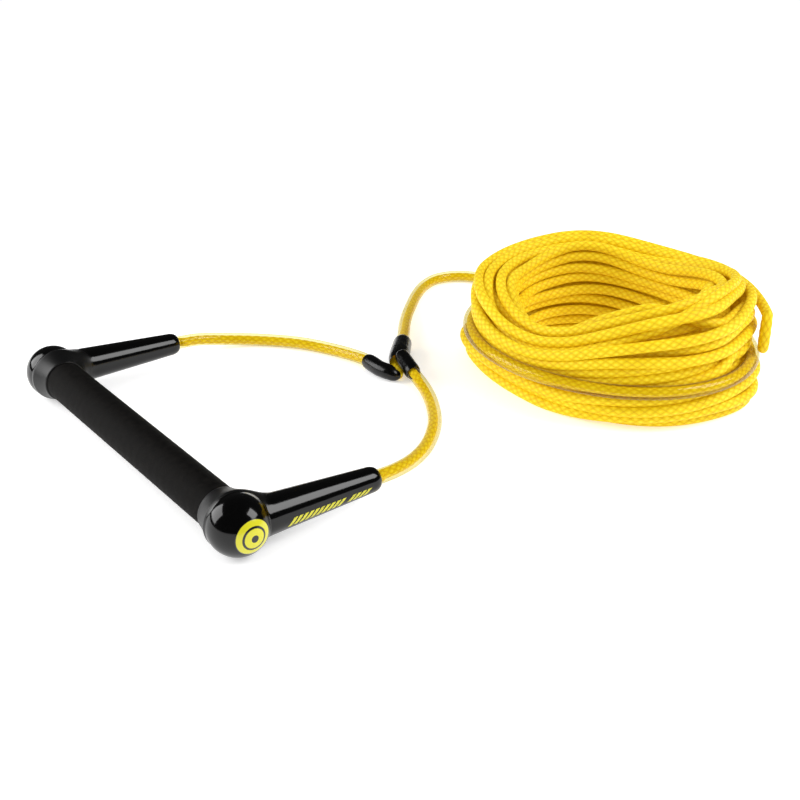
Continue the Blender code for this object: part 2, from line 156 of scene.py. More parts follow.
# Height and width of the pile of turns, by the angle round the coil in degrees.
COIL_HEIGHTS = {
    -180: 77, -150: 73, -125: 59, -105: 51, -90: 53, -75: 65, -55: 80, -30: 88,
    0: 92, 20: 89, 45: 85, 65: 79, 90: 75, 110: 79, 130: 85, 150: 81,
}
COIL_WIDTHS = {-180: 43, -140: 41, -105: 38, -60: 41, 0: 43, 60: 38, 120: 33}
# Where the turns bulge out or draw in, under and over the turn of tubing: (angle, reach, width).
LOW_BULGES = [(14, 15 * MM, 26), (-40, 5 * MM, 26), (-106, -11 * MM, 30), (-152, 8 * MM, 16)]
HIGH_BULGES = [(44, 4 * MM, 26), (8, -7 * MM, 22), (-120, 1 * MM, 30)]
BULGE_BLEND = 16 * MM  # the height over which the lower bulges give way to the upper ones
WAIST_HALF = 7 * MM  # how far above and below the tubing the turns make way for it
TUBING_SLOT = (0, 3)  # the column and layer that the turn of tubing takes
STEP_OVER = 0.12  # of a turn, to pass from one place in the pile to the next
COIL_SPACING = 6.5 * MM  # between the points that settle
SETTLING_STEPS = 200
SINKING = 0.012 * MM  # how far the turns sink in a step
STRAIGHTENING = 0.25  # the share of each kink that a step takes out
PUSH = 0.45  # and of each overlap
SQUEEZE = 0.15 * MM  # how far two turns press into each other
PAIR_MARGIN = 4 * MM  # pairs this much further apart than touching are watched
END_DROP = 0.17  # of a turn
WANDER = 3.0 * MM  # how far a turn strays from its place in the pile
WANDER_SEED = 11

# How finely the ropes, the tubing and the film are meshed: sides round, and the step along.
TUBE_SIDES = 32
ROPE_SIDES = 24
COIL_SIDES = 12
COIL_STEP = 2.8 * MM
TUBE_STEP = 2 * MM
ROPE_STEP = 1 * MM
FILM_STEP = 0.75 * MM


# ---------------------------------------------------------------- routes and round meshes

def smooth_line(points):
    """A centripetal Catmull-Rom curve through the points, as points about 1 mm apart."""
    p = np.array(points, float)
    p = np.vstack([2 * p[0] - p[1], p, 2 * p[-1] - p[-2]])
    dense = []
    for p0, p1, p2, p3 in zip(p, p[1:], p[2:], p[3:]):
        t1 = np.linalg.norm(p1 - p0) ** 0.5
        t2 = t1 + np.linalg.norm(p2 - p1) ** 0.5
        t3 = t2 + np.linalg.norm(p3 - p2) ** 0.5
        pieces = max(2, round(np.linalg.norm(p2 - p1) / MM))
        t = np.linspace(t1, t2, pieces, endpoint=False)[:, None]
        a1 = p0 + (p1 - p0) * t / t1
        a2 = p1 + (p2 - p1) * (t - t1) / (t2 - t1)
        a3 = p2 + (p3 - p2) * (t - t2) / (t3 - t2)
        b1 = a1 + (a2 - a1) * t / t2
        b2 = a2 + (a3 - a2) * (t - t1) / (t3 - t1)
        dense.append(b1 + (b2 - b1) * (t - t1) / (t2 - t1))
    dense.append(p[-2:-1])
    return np.vstack(dense)


def distances(line):
    steps = np.linalg.norm(np.diff(line, axis=0), axis=1)
    return np.concatenate([[0.0], np.cumsum(steps)])


def stretch(line, spacing, start=0.0, end=None):
    """Evenly spaced points on a line, from one distance along it to another."""
    reach = distances(line)
    end = reach[-1] if end is None else end
    count = max(1, round((end - start) / spacing))
    at = np.linspace(start, end, count + 1)
    return np.stack([np.interp(at, reach, line[:, k]) for k in range(3)], axis=1)


def cross_frames(path):
    """Two unit directions across the path at each of its points, which don't twist along it."""
    along = np.gradient(path, axis=0)
    along /= np.linalg.norm(along, axis=1)[:, None]
    first = np.cross(along[0], (0.0, 0.0, 1.0))
    if np.linalg.norm(first) < 0.1:
        first = np.cross(along[0], (1.0, 0.0, 0.0))
    side = np.empty_like(path)
    for i, t in enumerate(along):
        first = first - t * (first @ t)
        first /= math.sqrt(first @ first)
        side[i] = first
    return side, np.cross(along, side)


def against_the_bend(path, offset):
    """Moves a path towards the inner side of its bends, as seen from above."""
    along = np.gradient(path, axis=0)
    turn = np.gradient(along / np.linalg.norm(along, axis=1)[:, None], axis=0)
    turn[:, 2] = 0.0
    width = min(31, len(path) // 2 * 2 - 1)
    kernel = np.hanning(width + 2)[1:-1]
    kernel /= kernel.sum()
    padded = np.pad(turn, ((width // 2, width // 2), (0, 0)), mode="edge")
    turn = np.stack([np.convolve(padded[:, k], kernel, mode="valid") for k in range(3)], axis=1)
    size = np.linalg.norm(turn, axis=1)[:, None] + 1e-4
    return path + offset * turn / size


def mesh_object(name, points, faces, finish, uvs=None):
    mesh = bpy.data.meshes.new(name)
    mesh.from_pydata(np.asarray(points).tolist(), [], np.asarray(faces).tolist())
    mesh.polygons.foreach_set("use_smooth", np.ones(len(mesh.polygons), bool))
    if uvs is not None:
        layer = mesh.uv_layers.new(name="UVMap")
        layer.data.foreach_set("uv", np.asarray(uvs, np.float32).ravel())
    mesh.materials.append(finish)
    made = bpy.data.objects.new(name, mesh)
    bpy.context.scene.collection.objects.link(made)
    return made


def round_mesh(name, path, radius, sides, finish):
    """A round skin along a path. radius is one number, one for each point, or one for each corner."""
    side, up = cross_frames(path)
    rings = len(path)
    angle = 2 * math.pi * np.arange(sides) / sides
    if np.ndim(radius) == 1:
        radius = np.reshape(radius, (-1, 1))
    radius = np.broadcast_to(radius, (rings, sides))
    spread = np.cos(angle)[None, :, None] * side[:, None] + np.sin(angle)[None, :, None] * up[:, None]
    points = (path[:, None] + radius[..., None] * spread).reshape(-1, 3)
    i, j = np.meshgrid(np.arange(rings - 1), np.arange(sides), indexing="ij")
    after = (j + 1) % sides
    faces = np.stack([i * sides + j, i * sides + after, (i + 1) * sides + after, (i + 1) * sides + j], -1)
    along = distances(path) / PICK
    u = np.stack([along[i], along[i], along[i + 1], along[i + 1]], -1)
    v = np.stack([j, j + 1, j + 1, j], -1) / sides
    uvs = np.stack([u, v], -1)
    return mesh_object(name, points, faces.reshape(-1, 4), finish, uvs)


def braid_radius(path, radius, relief):
    """A rope's radius at each corner of its skin, raised where a pick of the braid lies."""
    u = distances(path)[:, None] / PICK
    v = PICKS_ROUND * np.arange(ROPE_SIDES)[None, :] / ROPE_SIDES
    pick = np.abs(np.sin(math.pi * (u + v)) * np.sin(math.pi * (u - v)))
    mean_height = 0.6
    return radius + relief * (np.sqrt(pick) - mean_height)


def braided_rope(name, path, radius, relief=BRAID_RELIEF):
    return round_mesh(name, path, braid_radius(path, radius, relief), ROPE_SIDES, ROPE)


# ---------------------------------------------------------------- materials

def node(tree, kind, **settings):
    made = tree.nodes.new(kind)
    for name, value in settings.items():
        setattr(made, name, value)
    return made


def feed(tree, socket, value):
    """Joins an output to a socket, or sets the socket to a plain value."""
    if isinstance(value, bpy.types.NodeSocket):
        tree.links.new(value, socket)
    else:
        socket.default_value = value


def calc(tree, operation, *values):
    made = node(tree, "ShaderNodeMath", operation=operation)
    for socket, value in zip(made.inputs, values):
        feed(tree, socket, value)
    return made.outputs[0]


def ramp(tree, value, stops):
    """A colour ramp: stops are (position, (r, g, b))."""
    made = node(tree, "ShaderNodeValToRGB")
    elements = made.color_ramp.elements
    while len(elements) < len(stops):
        elements.new(0.5)
    for element, (position, colour) in zip(elements, stops):
        element.position = position
        element.color = (*colour, 1.0)
    feed(tree, made.inputs["Fac"], value)
    return made.outputs["Color"]


def noise(tree, vector, scale, detail=3.0, roughness=0.5):
    made = node(tree, "ShaderNodeTexNoise")
    made.inputs["Scale"].default_value = scale
    made.inputs["Detail"].default_value = detail
    made.inputs["Roughness"].default_value = roughness
    feed(tree, made.inputs["Vector"], vector)
    return made.outputs["Fac"]


def bump(tree, height, distance, strength):
    made = node(tree, "ShaderNodeBump")
    made.inputs["Distance"].default_value = distance
    made.inputs["Strength"].default_value = strength
    feed(tree, made.inputs["Height"], height)
    return made.outputs["Normal"]


def place(tree):
    """Where a surface point is at rest, in metres."""
    return node(tree, "ShaderNodeTexCoord").outputs["Object"]


def new_material(name, **settings):
    """A material, its node tree and its Principled shader, with the shader's sockets set."""
    made = bpy.data.materials.new(name)
    made.use_nodes = True
    tree = made.node_tree
    shader = tree.nodes["Principled BSDF"]
    for socket, value in settings.items():
        shader.inputs[socket.replace("_", " ")].default_value = value
    return made, tree, shader


def rope_material(name, gap_shade, mid, light, tip):
    """Bright hollow braid: lens-shaped picks with a painted highlight on their crests and painted shade in
    the gaps between them, fine fibres along them, and a faint painted orange glow.
    """
    made, tree, shader = new_material(name, Roughness=0.55, Specular_IOR_Level=0.22, Sheen_Weight=0.06)
    shader.inputs["Sheen Tint"].default_value = (1.0, 0.85, 0.3, 1.0)
    # Painted light: a faint orange glow over all the rope, standing in for light spread within it and
    # warming its shaded gaps.
    shader.inputs["Emission Color"].default_value = (1.0, 0.56, 0.0, 1.0)
    shader.inputs["Emission Strength"].default_value = 0.05
    split = node(tree, "ShaderNodeSeparateXYZ")
    feed(tree, split.inputs[0], node(tree, "ShaderNodeTexCoord").outputs["UV"])
    along = split.outputs["X"]
    around = calc(tree, "MULTIPLY", split.outputs["Y"], float(PICKS_ROUND))
    waves = []
    for operation in ("ADD", "SUBTRACT"):
        phase = calc(tree, operation, along, around)
        wave = calc(tree, "SINE", calc(tree, "MULTIPLY", phase, math.pi))
        waves.append(calc(tree, "ABSOLUTE", wave))
    pick = calc(tree, "SQRT", calc(tree, "MULTIPLY", *waves))
    grain_place = node(tree, "ShaderNodeCombineXYZ")
    feed(tree, grain_place.inputs["X"], calc(tree, "MULTIPLY", along, 2.5))
    feed(tree, grain_place.inputs["Y"], calc(tree, "MULTIPLY", around, 7.0))
    fibres = noise(tree, grain_place.outputs[0], 1.0, 2.0)
    height = calc(tree, "ADD", pick, calc(tree, "MULTIPLY", calc(tree, "SUBTRACT", fibres, 0.5), 0.45))
    drift = noise(tree, place(tree), 45.0, 2.0)
    shade = calc(tree, "ADD", height, calc(tree, "MULTIPLY", calc(tree, "SUBTRACT", drift, 0.5), 0.5))
    # Painted light: the darkest stop is painted shade in the gaps between the picks, and the tip stop is a
    # painted highlight on their crests; the drift is the yarn's own uneven tone.
    stops = [(0.12, gap_shade), (0.42, mid), (0.78, light), (1.0, tip)]
    feed(tree, shader.inputs["Base Color"], ramp(tree, shade, stops))
    feed(tree, shader.inputs["Normal"], bump(tree, height, 0.6 * MM, 0.5))
    return made


def tubing_material():
    """Slightly yellowed tubing, clear in the middle and milky at its edges."""
    made, tree, shader = new_material("clear_tubing", Roughness=0.14, Specular_IOR_Level=0.6)
    haze = noise(tree, place(tree), 120.0, 3.0)
    tint = ramp(tree, haze, [(0.3, (0.50, 0.42, 0.27)), (0.7, (0.66, 0.58, 0.42))])
    feed(tree, shader.inputs["Base Color"], tint)
    clear = node(tree, "ShaderNodeBsdfTransparent")
    clear.inputs["Color"].default_value = (0.87, 0.84, 0.58, 1.0)
    edge = node(tree, "ShaderNodeLayerWeight")
    edge.inputs["Blend"].default_value = 0.42
    rim = calc(tree, "MAXIMUM", calc(tree, "SUBTRACT", edge.outputs["Facing"], 0.42), 0.0)
    share = calc(tree, "MULTIPLY", rim, 0.9)
    body = node(tree, "ShaderNodeMixShader")
    feed(tree, body.inputs[0], share)
    feed(tree, body.inputs[1], clear.outputs[0])
    feed(tree, body.inputs[2], shader.outputs[0])
    gloss = node(tree, "ShaderNodeBsdfGlossy")
    gloss.inputs["Roughness"].default_value = 0.10
    fresnel = node(tree, "ShaderNodeFresnel")
    fresnel.inputs["IOR"].default_value = 1.5
    wet = node(tree, "ShaderNodeMixShader")
    feed(tree, wet.inputs[0], calc(tree, "MINIMUM", calc(tree, "MULTIPLY", fresnel.outputs[0], 0.5), 0.06))
    feed(tree, wet.inputs[1], body.outputs[0])
    feed(tree, wet.inputs[2], gloss.outputs[0])
    feed(tree, tree.nodes["Material Output"].inputs["Surface"], wet.outputs[0])
    return made


def cap_material():
    """Polished black plastic, satin on the collar and its web, as the attribute says."""
    made, tree, shader = new_material("cap_plastic", Specular_IOR_Level=0.36)
    satin = node(tree, "ShaderNodeAttribute", attribute_name="satin").outputs["Fac"]
    tone = ramp(tree, satin, [(0.0, (0.001,) * 3), (1.0, (0.003,) * 3)])
    feed(tree, shader.inputs["Base Color"], tone)
    smear = noise(tree, place(tree), 60.0, 4.0)
    polished = calc(tree, "ADD", calc(tree, "MULTIPLY", smear, 0.08), 0.07)
    roughness = calc(tree, "ADD", polished, calc(tree, "MULTIPLY", satin, 0.30))
    feed(tree, shader.inputs["Roughness"], roughness)
    grain = calc(tree, "MULTIPLY", noise(tree, place(tree), 1400.0, 2.0), satin)
    feed(tree, shader.inputs["Normal"], bump(tree, grain, 0.05 * MM, 0.5))
    return made


def grip_material():
    """Matt black rubber with a fine, slightly mottled skin."""
    made, tree, shader = new_material("rubber", Specular_IOR_Level=0.10)
    where = place(tree)
    mottle = noise(tree, where, 260.0, 5.0, 0.65)
    tone = ramp(tree, mottle, [(0.35, (0.0012, 0.0009, 0.0006)), (0.7, (0.0055, 0.0046, 0.0038))])
    feed(tree, shader.inputs["Base Color"], tone)
    feed(tree, shader.inputs["Roughness"], calc(tree, "ADD", calc(tree, "MULTIPLY", mottle, 0.2), 0.66))
    fine = noise(tree, where, 1500.0, 2.0)
    height = calc(tree, "ADD", mottle, calc(tree, "MULTIPLY", fine, 0.5))
    feed(tree, shader.inputs["Normal"], bump(tree, height, 0.25 * MM, 0.7))
    return made


def sleeve_material():
    """Heat-shrink film: black, satin, faintly wrinkled over what it grips."""
    made, tree, shader = new_material("sleeve_film", Specular_IOR_Level=0.30)
    where = place(tree)
    wrinkle = noise(tree, where, 420.0, 3.0)
    tone = ramp(tree, wrinkle, [(0.3, (0.001,) * 3), (0.8, (0.0025,) * 3)])
    feed(tree, shader.inputs["Base Color"], tone)
    feed(tree, shader.inputs["Roughness"], calc(tree, "ADD", calc(tree, "MULTIPLY", wrinkle, 0.12), 0.16))
    feed(tree, shader.inputs["Normal"], bump(tree, wrinkle, 0.35 * MM, 0.5))
    return made


def print_material():
    """Yellow pad print on black plastic, a little uneven."""
    made, tree, shader = new_material("badge_print", Roughness=0.32)
    wear = noise(tree, place(tree), 900.0, 4.0)
    worn, yellow, bright = (0.30, 0.26, 0.01), (0.64, 0.60, 0.015), (0.72, 0.68, 0.03)
    tone = ramp(tree, wear, [(0.32, worn), (0.45, yellow), (0.8, bright)])
    feed(tree, shader.inputs["Base Color"], tone)
    return made


def metal_material():
    """Drawn aluminium, with fine lines along the tube."""
    made, tree, shader = new_material("aluminium", Metallic=1.0)
    where = node(tree, "ShaderNodeMapping")
    feed(tree, where.inputs["Vector"], place(tree))
    where.inputs["Scale"].default_value = (20.0, 900.0, 900.0)
    lines = noise(tree, where.outputs[0], 1.0, 3.0)
    feed(tree, shader.inputs["Base Color"], ramp(tree, lines, [(0.2, (0.60,) * 3), (0.8, (0.78,) * 3)]))
    feed(tree, shader.inputs["Roughness"], calc(tree, "ADD", calc(tree, "MULTIPLY", lines, 0.2), 0.25))
    return made


ROPE = rope_material(
    "rope",
    # The darkest colour is painted shade in the braid's gaps, and the tip colour is a painted highlight on
    # the picks.
    gap_shade=(0.68, 0.41, 0.002),
    mid=(0.80, 0.56, 0.003),
    light=(0.83, 0.61, 0.005),
    tip=(0.93, 0.74, 0.03),
)
TUBING = tubing_material()
CAP = cap_material()
GRIP = grip_material()
FILM = sleeve_material()
PRINT = print_material()
METAL = metal_material()


# ---------------------------------------------------------------- camera, light and floor

CAMERA_AT = Vector((0.6648, -0.3329, 0.4078))
CAMERA_AIM = Vector((0.0330, 0.1583, 0.0))
CAMERA_LENS = 53.83
SUBJECT = Vector((0.06, 0.12, 0.02))


def make_camera():
    camera = bpy.data.objects.new("camera", bpy.data.cameras.new("camera"))
    camera.data.lens = CAMERA_LENS
    camera.data.sensor_width = 36.0
    camera.location = CAMERA_AT
    camera.rotation_euler = (CAMERA_AIM - CAMERA_AT).to_track_quat("-Z", "Y").to_euler()
    bpy.context.scene.collection.objects.link(camera)
    bpy.context.scene.camera = camera


def make_softbox(name, direction, distance, width, height, brightness):
    """A rectangular soft light. brightness is its radiance, so that its size can change alone."""
    light = bpy.data.lights.new(name, "AREA")
    light.shape = "RECTANGLE"
    light.size = width
    light.size_y = height
    light.energy = brightness * math.pi * width * height
    lamp = bpy.data.objects.new(name, light)
    lamp.location = SUBJECT + Vector(direction).normalized() * distance
    lamp.rotation_euler = (SUBJECT - lamp.location).to_track_quat("-Z", "Y").to_euler()
    bpy.context.scene.collection.objects.link(lamp)


def make_world():
    """White behind the object, even soft light on it, and a dim room in its reflections."""
    world = bpy.data.worlds.new("studio")
    world.use_nodes = True
    bpy.context.scene.world = world
    tree = world.node_tree
    backdrop = tree.nodes["Background"]
    rays = node(tree, "ShaderNodeLightPath")
    mirrored = calc(tree, "SUBTRACT", 1.0, calc(tree, "MULTIPLY", rays.outputs["Is Glossy Ray"], 0.93))
    seen = calc(tree, "MAXIMUM", calc(tree, "MULTIPLY", mirrored, 0.60), rays.outputs["Is Camera Ray"])
    feed(tree, backdrop.inputs["Strength"], seen)
    backdrop.inputs["Color"].default_value = (1.0, 1.0, 1.0, 1.0)


def make_floor():
    size = 6.0
    corners = [(-size, -size, 0.0), (size, -size, 0.0), (size, size, 0.0), (-size, size, 0.0)]
    finish, tree, shader = new_material("floor_white", Roughness=0.9, Specular_IOR_Level=0.0)
    tone = noise(tree, place(tree), 3.0)
    feed(tree, shader.inputs["Base Color"], ramp(tree, tone, [(0.2, (0.90,) * 3), (0.8, (0.92,) * 3)]))
    shader.inputs["Emission Color"].default_value = (1.0, 1.0, 1.0, 1.0)
    shader.inputs["Emission Strength"].default_value = 0.42
    floor = mesh_object("floor", corners, [(0, 1, 2, 3)], finish)


bpy.context.scene.view_settings.view_transform = "Standard"
make_camera()
make_world()
make_floor()
make_softbox("softbox_left", (-0.61, -0.68, 0.44), 1.25, 0.95, 0.80, 5.2)
make_softbox("softbox_right", (0.54, 0.53, 0.66), 1.35, 0.70, 0.70, 7.0)


# ---------------------------------------------------------------- ropes, tubing and sleeves

CENTRING = 15 * MM  # over this length the rope comes to its tubing's middle, before the sleeve
LIP = 8.5 * MM  # the left sleeve's film follows its rope a little way into the bend
LIP_TAPER = 1.6 * MM
SLEEVE_TAPER = 0.5 * MM


def make_leg(word, points, beyond):
    """One leg of the bridle. beyond is where its rope goes on, past the tubing."""
    line = smooth_line(points)
    length = distances(line)[-1]
    sleeve_start = length - SLEEVE_LENGTH
    tube_path = stretch(line, TUBE_STEP, 0.0, sleeve_start + TUBE_IN_SLEEVE)
    tube = round_mesh("tubing_" + word, tube_path, TUBE_R, TUBE_SIDES, TUBING)
    rope_line = smooth_line([*points, *beyond])
    rope_path = stretch(rope_line, ROPE_STEP)
    in_tube = np.clip((sleeve_start - distances(rope_path)) / CENTRING, 0.0, 1.0)[:, None]
    rope_path = against_the_bend(rope_path, ROPE_OFFSET * in_tube)
    rope = braided_rope("rope_" + word, rope_path, DRAWN_ROPE_R)
    sleeve_path = stretch(rope_line, FILM_STEP, sleeve_start, length + (LIP if beyond else 0.0))
    share = np.linspace(0.0, 1.0, len(sleeve_path))
    swell = 1 - (2 * share - 1) ** 8
    sleeve_radius = TUBE_R + FILM_GAP + (SLEEVE_R - TUBE_R - FILM_GAP) * swell
    sleeve_radius -= SLEEVE_TAPER * share
    if beyond:
        in_lip = np.clip((share - 1) * distances(sleeve_path)[-1] / LIP + 1, 0.0, 1.0)
        sleeve_radius -= LIP_TAPER * in_lip
    sleeve = round_mesh("sleeve_" + word + "_film", sleeve_path, sleeve_radius, TUBE_SIDES, FILM)
    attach(sleeve, "bridle")
    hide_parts("sleeve_" + word)
    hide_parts("bridle_tube_" + word)
    for piece in (tube, rope):
        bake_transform(piece)
    return rope


left_rope = make_leg("left", LEFT_LEG, BARE_ROPE)
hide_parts("bridle_rope_left", "bare_rope")
right_rope = make_leg("right", RIGHT_LEG, [])
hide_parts("bridle_rope_right")


def coil_point(angle, long_r, short_r, height):
    """Points of the oval about the coil's centre. Angles run from its long axis, against the clock."""
    angle = np.asarray(angle, float)
    across = long_r * np.cos(angle)
    aside = short_r * np.sin(angle)
    c, s = math.cos(COIL_TURN), math.sin(COIL_TURN)
    flat = [across * c - aside * s, across * s + aside * c, height + 0 * angle]
    return COIL_CENTRE + np.stack(flat, -1)


def line_route():
    """The tow line's tubing: along the floor and round the coil's waist."""
    clearance = TUBE_R + TURN_GAP - WAIST_DEPTH
    waist_short = (COIL_LONG_R - WAIST_DEPTH) * COIL_SHORT_R / COIL_LONG_R
    angle = np.linspace(TURN_START, TURN_END, TURN_POINTS + 1)
    turn = coil_point(angle, COIL_LONG_R + clearance, waist_short + TUBE_R + TURN_GAP, WAIST_Z)
    return smooth_line([*LINE_ON_FLOOR, *turn])


LINE = line_route()
JOINT_REACH = 66 * MM  # the line's first stretch is left in place, the rest is carried


def make_line():
    whole = distances(LINE)[-1]
    direction = LINE[10] - LINE[0]
    direction /= np.linalg.norm(direction)
    parts = (("near", 0.0, JOINT_REACH), ("far", JOINT_REACH, whole))
    for word, start, end in parts:
        tube_path = stretch(LINE, TUBE_STEP, start, end)
        rope_path = stretch(LINE, ROPE_STEP, start, end)
        rope_path = against_the_bend(rope_path, ROPE_OFFSET)
        tube = round_mesh("line_tubing_" + word, tube_path, TUBE_R, TUBE_SIDES, TUBING)
        rope = braided_rope("line_rope_" + word, rope_path, DRAWN_ROPE_R)
        for piece, path, radius, name in ((tube, tube_path, TUBE_R, "clear_tubing"),
                                          (rope, rope_path, DRAWN_ROPE_R, "rope")):
            if word == "near":
                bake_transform(piece)
            else:
                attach(piece, "line")
                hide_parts("line_tube" if piece is tube else "line_rope")


make_line()


SKIRT = 0.34  # the main sleeve's film reaches this share of its length over what it grips
SPLICE_R = 5.2 * MM
# The main sleeve's radius in millimetres, by the share of its length.
MAIN_SLEEVE_RADII = {0.0: 6.4, 0.10: 7.9, 0.40: 8.2, 0.90: 7.6, 1.0: 6.2}


def make_main_sleeve():
    """The tapered sleeve over the splice, and what it holds."""
    start, end = (np.array(p) for p in MAIN_SLEEVE)
    skirt = start + (start - end) * SKIRT
    skirt[2] = start[2]
    line = np.vstack([np.linspace(skirt, start, 12, endpoint=False), np.linspace(start, end, 80)])
    share = distances(line) / distances(line)[-1]
    radius = np.interp(share, list(MAIN_SLEEVE_RADII), np.array(list(MAIN_SLEEVE_RADII.values())) * MM)
    kernel = np.ones(7) / 7
    radius = np.convolve(np.pad(radius, 3, mode="edge"), kernel, mode="valid")
    sleeve = round_mesh("main_sleeve_film", line, radius, TUBE_SIDES, FILM)
    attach(sleeve, "bridle")
    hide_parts("sleeve_main")
    splice_path = np.linspace(start + (end - start) * 0.03, start + (end - start) * 0.46, 30)
    splice = braided_rope("splice_strands", splice_path, SPLICE_R, relief=0.4 * MM)
    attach(splice, "bridle")
    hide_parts("splice_core")


make_main_sleeve()


# ---------------------------------------------------------------- the coil

def turn_between(angle, other):
    """The difference of two angles in degrees, from -180 to 180."""
    return (angle - other + 180.0) % 360.0 - 180.0


def by_angle(table, degrees):
    """A smooth value read from a table by the angle round the coil, in metres."""
    keys = sorted(table)
    values = [table[k] * MM for k in keys]
    near = [np.interp(turn_between(degrees, shift), keys, values, period=360) for shift in (-12, -4, 4, 12)]
    return np.mean(near, axis=0)


def bulge(bulges, degrees):
    total = np.zeros(len(degrees))
    for centre, reach, width in bulges:
        total += reach * np.exp(-((turn_between(degrees, centre) / width) ** 2))
    return total


def winding_slots():
    """Places in the coil's section in the order that the turns fill them: (column, layer)."""
    slots = []
    for layer in range(COIL_LAYERS):
        columns = range(COIL_COLUMNS) if layer % 2 == 0 else range(COIL_COLUMNS - 1, -1, -1)
        slots += [(column, layer) for column in columns if (column, layer) != TUBING_SLOT]
    slots[-COIL_COLUMNS:] = slots[:-COIL_COLUMNS - 1:-1]  # the last turn ends on the outer side
    return np.array(slots, float)


def coil_start(turns):
    """The turns before they settle: each lies in its slot, wanders a little, and steps to the next."""
    rng = np.random.default_rng(WANDER_SEED)
    slots = winding_slots()
    count = round(turns * MEAN_TURN / COIL_SPACING)
    winding = np.linspace(0.0, turns, count)
    angle = TURN_END - 2 * math.pi * winding
    turn = np.minimum(winding.astype(int), len(slots) - 2)
    step_at = rng.uniform(0.1, 0.9, len(slots))[turn]
    share = np.clip((winding - turn - step_at) / STEP_OVER + 0.5, 0.0, 1.0)
    share = (share * share * (3 - 2 * share))[:, None]
    slot = slots[turn] * (1 - share) + slots[turn + 1] * share
    degrees = np.degrees(angle)
    height = by_angle(COIL_HEIGHTS, degrees)
    width = by_angle(COIL_WIDTHS, degrees)
    wander = np.zeros((2, count))
    for wave in range(1, 5):
        size = rng.uniform(0.2, 1.0, (2, len(slots))) / wave
        phase = rng.uniform(0, 2 * math.pi, (2, len(slots)))
        now = size[:, turn] * np.cos(wave * angle + phase[:, turn])
        later = size[:, turn + 1] * np.cos(wave * angle + phase[:, turn + 1])
        wander += now * (1 - share[:, 0]) + later * share[:, 0]
    inset = ROPE_R + slot[:, 0] * (width - 2 * ROPE_R) / (COIL_COLUMNS - 1)
    inset += WANDER * wander[0]
    up = ROPE_R + slot[:, 1] * (height - 2 * ROPE_R) / (COIL_LAYERS - 1) + WANDER * wander[1]
    upper = np.clip((up - WAIST_Z) / BULGE_BLEND + 0.5, 0.0, 1.0)
    reach = bulge(LOW_BULGES, degrees) * (1 - upper) + bulge(HIGH_BULGES, degrees) * upper
    inset -= reach * (1 - 0.6 * inset / width)
    beside_tube = np.exp(-(((up - WAIST_Z) / WAIST_HALF) ** 2))
    inset += np.maximum(WAIST_DEPTH + ROPE_R - TURN_GAP - inset, 0.0) * beside_tube
    start = coil_point(angle, COIL_LONG_R - inset, COIL_SHORT_R - inset, 0.0)
    start[:, 2] = np.maximum(up, ROPE_R)
    # The very end comes down over the side to its eye.
    share = np.clip((winding - turns) / END_DROP + 1, 0.0, 1.0)
    share = (share * share * (3 - 2 * share))[:, None]
    side = coil_point(angle, COIL_LONG_R + EYE_OFFSET, COIL_SHORT_R + EYE_OFFSET, EYE_Z + EYE_HALF_HEIGHT)
    start = start * (1 - share) + side * share
    return start


def settle(start, first, last, fixed):
    """Pushes touching turns apart, keeps the rope's length and lets it sink, step by step."""
    points = start.copy()
    rest = start.copy()
    spacing = np.linalg.norm(np.diff(start, axis=0), axis=1)
    spacing[:] = spacing.mean()
    count = len(points)
    apart = 2 * ROPE_R - SQUEEZE
    apart_fixed = ROPE_R + TUBE_R
    for step in range(SETTLING_STEPS):
        if step % 10 == 0:
            near = close_pairs(points, points, apart + PAIR_MARGIN)
            near = near[:, near[1] - near[0] > 3]
            near_fixed = close_pairs(points, fixed, apart_fixed + PAIR_MARGIN)
        points[:, 2] -= SINKING
        offset = points - rest
        smooth = offset.copy()
        smooth[1:-1] = (offset[:-2] + offset[2:]) / 2
        points += STRAIGHTENING * (smooth - offset)
        push_pairs(points, near, apart, count)
        away = points[near_fixed[0]] - fixed[near_fixed[1]]
        gap = np.linalg.norm(away, axis=1) + 1e-9
        move = np.where(gap < apart_fixed, (apart_fixed - gap) / gap, 0.0)[:, None] * away
        for k in range(3):
            points[:, k] += 0.5 * np.bincount(near_fixed[0], move[:, k], count)
        along = np.diff(points, axis=0)
        length = np.linalg.norm(along, axis=1)
        fix = 0.5 * (1 - spacing / length)[:, None] * along
        points[:-1] += 0.5 * fix
        points[1:] -= 0.5 * fix
        points[:, 2] = np.maximum(points[:, 2], ROPE_R)
        points[0] = first
        points[-1] = last
    return points


def close_pairs(some, others, reach):
    """Index pairs (2, n) of points nearer to each other than reach."""
    found = []
    block = 512
    for low in range(0, len(some), block):
        part = some[low:low + block]
        gap = ((part[:, None] - others[None]) ** 2).sum(-1)
        i, j = np.nonzero(gap < reach * reach)
        found.append(np.stack([i + low, j]))
    return np.concatenate(found, axis=1)


def push_pairs(points, pairs, apart, count):
    away = points[pairs[0]] - points[pairs[1]]
    gap = np.linalg.norm(away, axis=1) + 1e-9
    move = np.where(gap < apart, 0.5 * (apart - gap) / gap, 0.0)[:, None] * away
    for k in range(3):
        points[:, k] += PUSH * np.bincount(pairs[0], move[:, k], count)
        points[:, k] -= PUSH * np.bincount(pairs[1], move[:, k], count)


TURN_REACH = 0.25  # the line's turn about the coil starts beyond this distance along it


def make_coil():
    turns = COIL_TURNS + (TURN_END - EYE_ANGLE) % (2 * math.pi) / (2 * math.pi)
    start = coil_start(turns)
    eye_centre = coil_point(EYE_ANGLE, COIL_LONG_R + EYE_OFFSET, COIL_SHORT_R + EYE_OFFSET, EYE_Z)
    throat = eye_centre + np.array([0.0, 0.0, EYE_HALF_HEIGHT])
    fixed = stretch(LINE, 4 * MM, TURN_REACH)
    points = settle(start, LINE[-1], throat, fixed)
    path = stretch(smooth_line(points), COIL_STEP)
    rope = round_mesh("coiled_rope", path, ROPE_R, COIL_SIDES, ROPE)
    eye = make_eye(eye_centre)
    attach(rope, "line")
    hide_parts("rope_coil")


